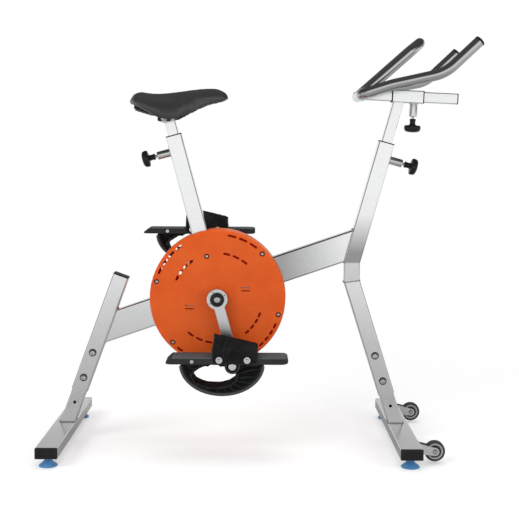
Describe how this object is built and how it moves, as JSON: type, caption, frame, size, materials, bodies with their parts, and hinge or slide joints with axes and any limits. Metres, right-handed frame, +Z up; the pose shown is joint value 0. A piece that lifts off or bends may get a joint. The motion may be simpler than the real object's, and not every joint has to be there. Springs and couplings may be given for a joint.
{
  "type": "underwater exercise bike",
  "caption": "Stainless underwater exercise bike: leaning posts on two base bars, orange dished crank housing, strap pedals, sliding bull-horn handlebar and height-set saddle.",
  "frame": {"origin": "on the floor, under the centre of the bike's length and width", "axes": "+X towards the front (handlebar horns), +Y towards the rider's left, +Z up"},
  "size_m": [1.1936, 0.5666, 1.1643],
  "materials": {
    "stainless_tube": "brushed stainless steel",
    "polished_stainless": "polished stainless steel",
    "orange_plastic": "satin moulded plastic",
    "black_plastic": "fine matt moulded plastic",
    "black_pedal": "moulded plastic with grip ribs",
    "black_fabric": "coated woven fabric over foam",
    "black_saddle": "satin synthetic cover",
    "blue_rubber": "soft translucent-looking rubber",
    "tyre_rubber": "matt rubber roller"
  },
  "bodies": {
    "frame": {"rear_base": "stainless_tube", "front_base": "stainless_tube", "rear_right_cap": "black_plastic", "rear_left_cap": "black_plastic", "front_right_cap": "black_plastic", "front_left_cap": "black_plastic", "rear_right_foot": "blue_rubber", "rear_left_foot": "blue_rubber", "front_right_foot": "blue_rubber", "front_left_foot": "blue_rubber", "rear_leg": "stainless_tube", "rear_leg_bolts": "polished_stainless", "rear_leg_cap": "black_plastic", "front_leg": "stainless_tube", "front_leg_bolts": "polished_stainless", "front_column": "stainless_tube", "column_bush": "black_plastic", "main_beam": "stainless_tube", "bracket_shell": "stainless_tube", "right_bearing": "polished_stainless", "left_bearing": "polished_stainless", "seat_tube": "stainless_tube", "seat_bush": "black_plastic", "left_cover": "orange_plastic", "right_cover": "orange_plastic", "cover_bolt_1": "polished_stainless", "cover_bolt_2": "polished_stainless", "cover_bolt_3": "polished_stainless", "cover_bolt_4": "polished_stainless", "cover_bolt_5": "polished_stainless", "cover_bolt_6": "polished_stainless"},
    "crankset": {"crank_axle": "polished_stainless", "right_crank": "stainless_tube", "left_crank": "stainless_tube", "right_crank_cap": "black_plastic", "left_crank_cap": "black_plastic"},
    "right_pedal_body": {"right_pedal": "black_pedal", "right_pedal_hood": "black_fabric", "right_pedal_loop": "black_fabric"},
    "left_pedal_body": {"left_pedal": "black_pedal", "left_pedal_hood": "black_fabric", "left_pedal_loop": "black_fabric"},
    "seat_post_body": {"seat_post": "stainless_tube"},
    "saddle_body": {"saddle_clamp": "black_plastic", "saddle_rails": "polished_stainless", "saddle": "black_saddle"},
    "seat_pin_body": {"seat_pin": "black_plastic"},
    "height_pin_body": {"height_pin": "black_plastic"},
    "bar_post_body": {"handlebar_post": "stainless_tube", "sleeve_front_bush": "black_plastic", "sleeve_rear_bush": "black_plastic"},
    "reach_pin_body": {"reach_pin": "black_plastic"},
    "bars_body": {"slider_tube": "stainless_tube", "slider_cap": "black_plastic", "handlebar": "polished_stainless", "right_horn_cap": "black_plastic", "left_horn_cap": "black_plastic"},
    "right_wheel_body": {"right_wheel": "tyre_rubber"},
    "left_wheel_body": {"left_wheel": "tyre_rubber"}
  },
  "joints": [
    {"name": "crank_spin", "type": "hinge", "parent": "frame", "child": "crankset", "pos_m": [-0.12476, 0, 0.423], "axis": [0, 1, 0], "continuous": true},
    {"name": "right_pedal_spin", "type": "hinge", "parent": "crankset", "child": "right_pedal_body", "pos_m": [-0.07895, -0.15, 0.25669], "axis": [0, 1, 0], "continuous": true},
    {"name": "left_pedal_spin", "type": "hinge", "parent": "crankset", "child": "left_pedal_body", "pos_m": [-0.17057, 0.15, 0.58931], "axis": [0, 1, 0], "continuous": true},
    {"name": "seat_height", "type": "slide", "parent": "frame", "child": "seat_post_body", "axis": [-0.2622, 0, 0.965], "range_m": [-0.02, 0.2]},
    {"name": "saddle_tilt", "type": "hinge", "parent": "seat_post_body", "child": "saddle_body", "pos_m": [-0.27962, 0, 0.9339], "axis": [0, 1, 0], "range_deg": [-10, 10]},
    {"name": "seat_pin_pull", "type": "slide", "parent": "frame", "child": "seat_pin_body", "axis": [-0.965, 0, -0.2622], "range_m": [0, 0.008], "stiffness_N_per_m": 600, "springref_m": -0.008},
    {"name": "height_pin_pull", "type": "slide", "parent": "frame", "child": "height_pin_body", "axis": [0.9627, 0, -0.2706], "range_m": [0, 0.008], "stiffness_N_per_m": 600, "springref_m": -0.008},
    {"name": "handlebar_height", "type": "slide", "parent": "frame", "child": "bar_post_body", "axis": [0.2706, 0, 0.9627], "range_m": [-0.05, 0.12]},
    {"name": "reach_pin_pull", "type": "slide", "parent": "bar_post_body", "child": "reach_pin_body", "axis": [-0.0419, 0, -0.9991], "range_m": [0, 0.008], "stiffness_N_per_m": 600, "springref_m": -0.008},
    {"name": "handlebar_reach", "type": "slide", "parent": "bar_post_body", "child": "bars_body", "axis": [0.9991, 0, -0.0419], "range_m": [-0.09, 0.06]},
    {"name": "right_wheel_spin", "type": "hinge", "parent": "frame", "child": "right_wheel_body", "pos_m": [0.46924, -0.213, 0.033], "axis": [0, 1, 0], "continuous": true},
    {"name": "left_wheel_spin", "type": "hinge", "parent": "frame", "child": "left_wheel_body", "pos_m": [0.46924, 0.213, 0.033], "axis": [0, 1, 0], "continuous": true}
  ]
}
